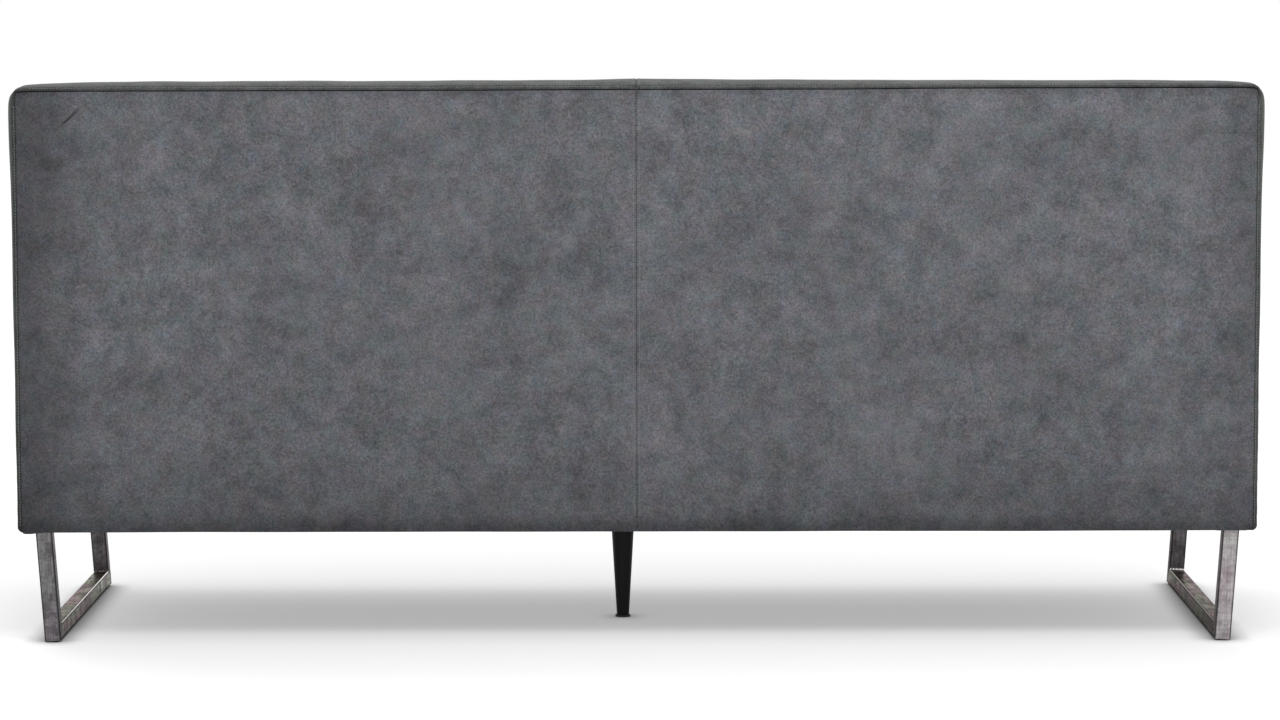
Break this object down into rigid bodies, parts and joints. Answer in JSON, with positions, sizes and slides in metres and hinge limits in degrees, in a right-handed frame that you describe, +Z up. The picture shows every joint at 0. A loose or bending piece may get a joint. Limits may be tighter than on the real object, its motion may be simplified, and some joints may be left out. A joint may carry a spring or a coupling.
{
  "type": "dining bench",
  "caption": "Upholstered dining bench with a full-height straight back, mitred steel sled frames and a tapered centre leg with a screw-out glide.",
  "frame": {"origin": "on the floor, under the middle of the bench", "axes": "+X along the bench to the right of someone who looks at its front, +Y from the front to the rear cover, +Z up"},
  "size_m": [1.9086, 0.66, 0.86],
  "materials": {
    "grey_suede": "mottled suede-look microfibre",
    "dust_cloth": "black non-woven cloth",
    "sled_steel": "raw steel with mill patina under clear lacquer",
    "zinc_steel": "bright zinc plate",
    "spring_steel": "oiled spring wire",
    "black_leg": "turned beech with black satin lacquer",
    "glide_plastic": "black nylon",
    "frame_wood": "planed pine",
    "felt": "needled felt",
    "webbing": "elastic webbing",
    "foam": "open-cell polyurethane foam",
    "liner_board": "grey-brown liner board"
  },
  "bodies": {
    "bench": {"left_runner": "sled_steel", "left_rear_upright": "sled_steel", "left_front_upright": "sled_steel", "left_mounting_plate": "sled_steel", "right_runner": "sled_steel", "right_rear_upright": "sled_steel", "right_front_upright": "sled_steel", "right_mounting_plate": "sled_steel", "glide_pads": "glide_plastic", "plate_bolts": "zinc_steel", "t_nuts": "zinc_steel", "centre_leg": "black_leg", "centre_leg_plate": "zinc_steel", "centre_leg_screws": "zinc_steel", "hanger_bolt": "zinc_steel", "stud_insert": "zinc_steel", "base_front_rail": "frame_wood", "base_rear_rail": "frame_wood", "base_left_rail": "frame_wood", "base_right_rail": "frame_wood", "spring_rail": "frame_wood", "centre_bearer": "frame_wood", "left_leg_board": "frame_wood", "right_leg_board": "frame_wood", "corner_blocks": "frame_wood", "left_back_post": "frame_wood", "centre_back_post": "frame_wood", "right_back_post": "frame_wood", "back_top_rail": "frame_wood", "back_lower_rails": "frame_wood", "post_bolts": "zinc_steel", "left_seat_springs": "spring_steel", "right_seat_springs": "spring_steel", "spring_clips": "zinc_steel", "spring_tie_wires": "spring_steel", "spring_felt": "felt", "back_webbing": "webbing", "left_seat_foam": "foam", "right_seat_foam": "foam", "left_back_foam": "foam", "right_back_foam": "foam", "top_foam": "foam", "left_side_foam": "foam", "right_side_foam": "foam", "rear_liner": "liner_board", "rear_cover_left": "grey_suede", "rear_cover_right": "grey_suede", "top_cover_left": "grey_suede", "top_cover_right": "grey_suede", "back_side_cover_left": "grey_suede", "back_side_cover_right": "grey_suede", "inside_back_left": "grey_suede", "inside_back_right": "grey_suede", "seat_cover_left": "grey_suede", "seat_cover_right": "grey_suede", "base_front_cover": "grey_suede", "base_side_cover_left": "grey_suede", "base_side_cover_right": "grey_suede", "dust_cover": "dust_cloth"},
    "glide": {"levelling_glide": "glide_plastic"}
  },
  "joints": [
    {"name": "glide_screw_out", "type": "slide", "parent": "bench", "child": "glide", "axis": [0, 0, -1], "range_m": [0, 0.01]}
  ]
}
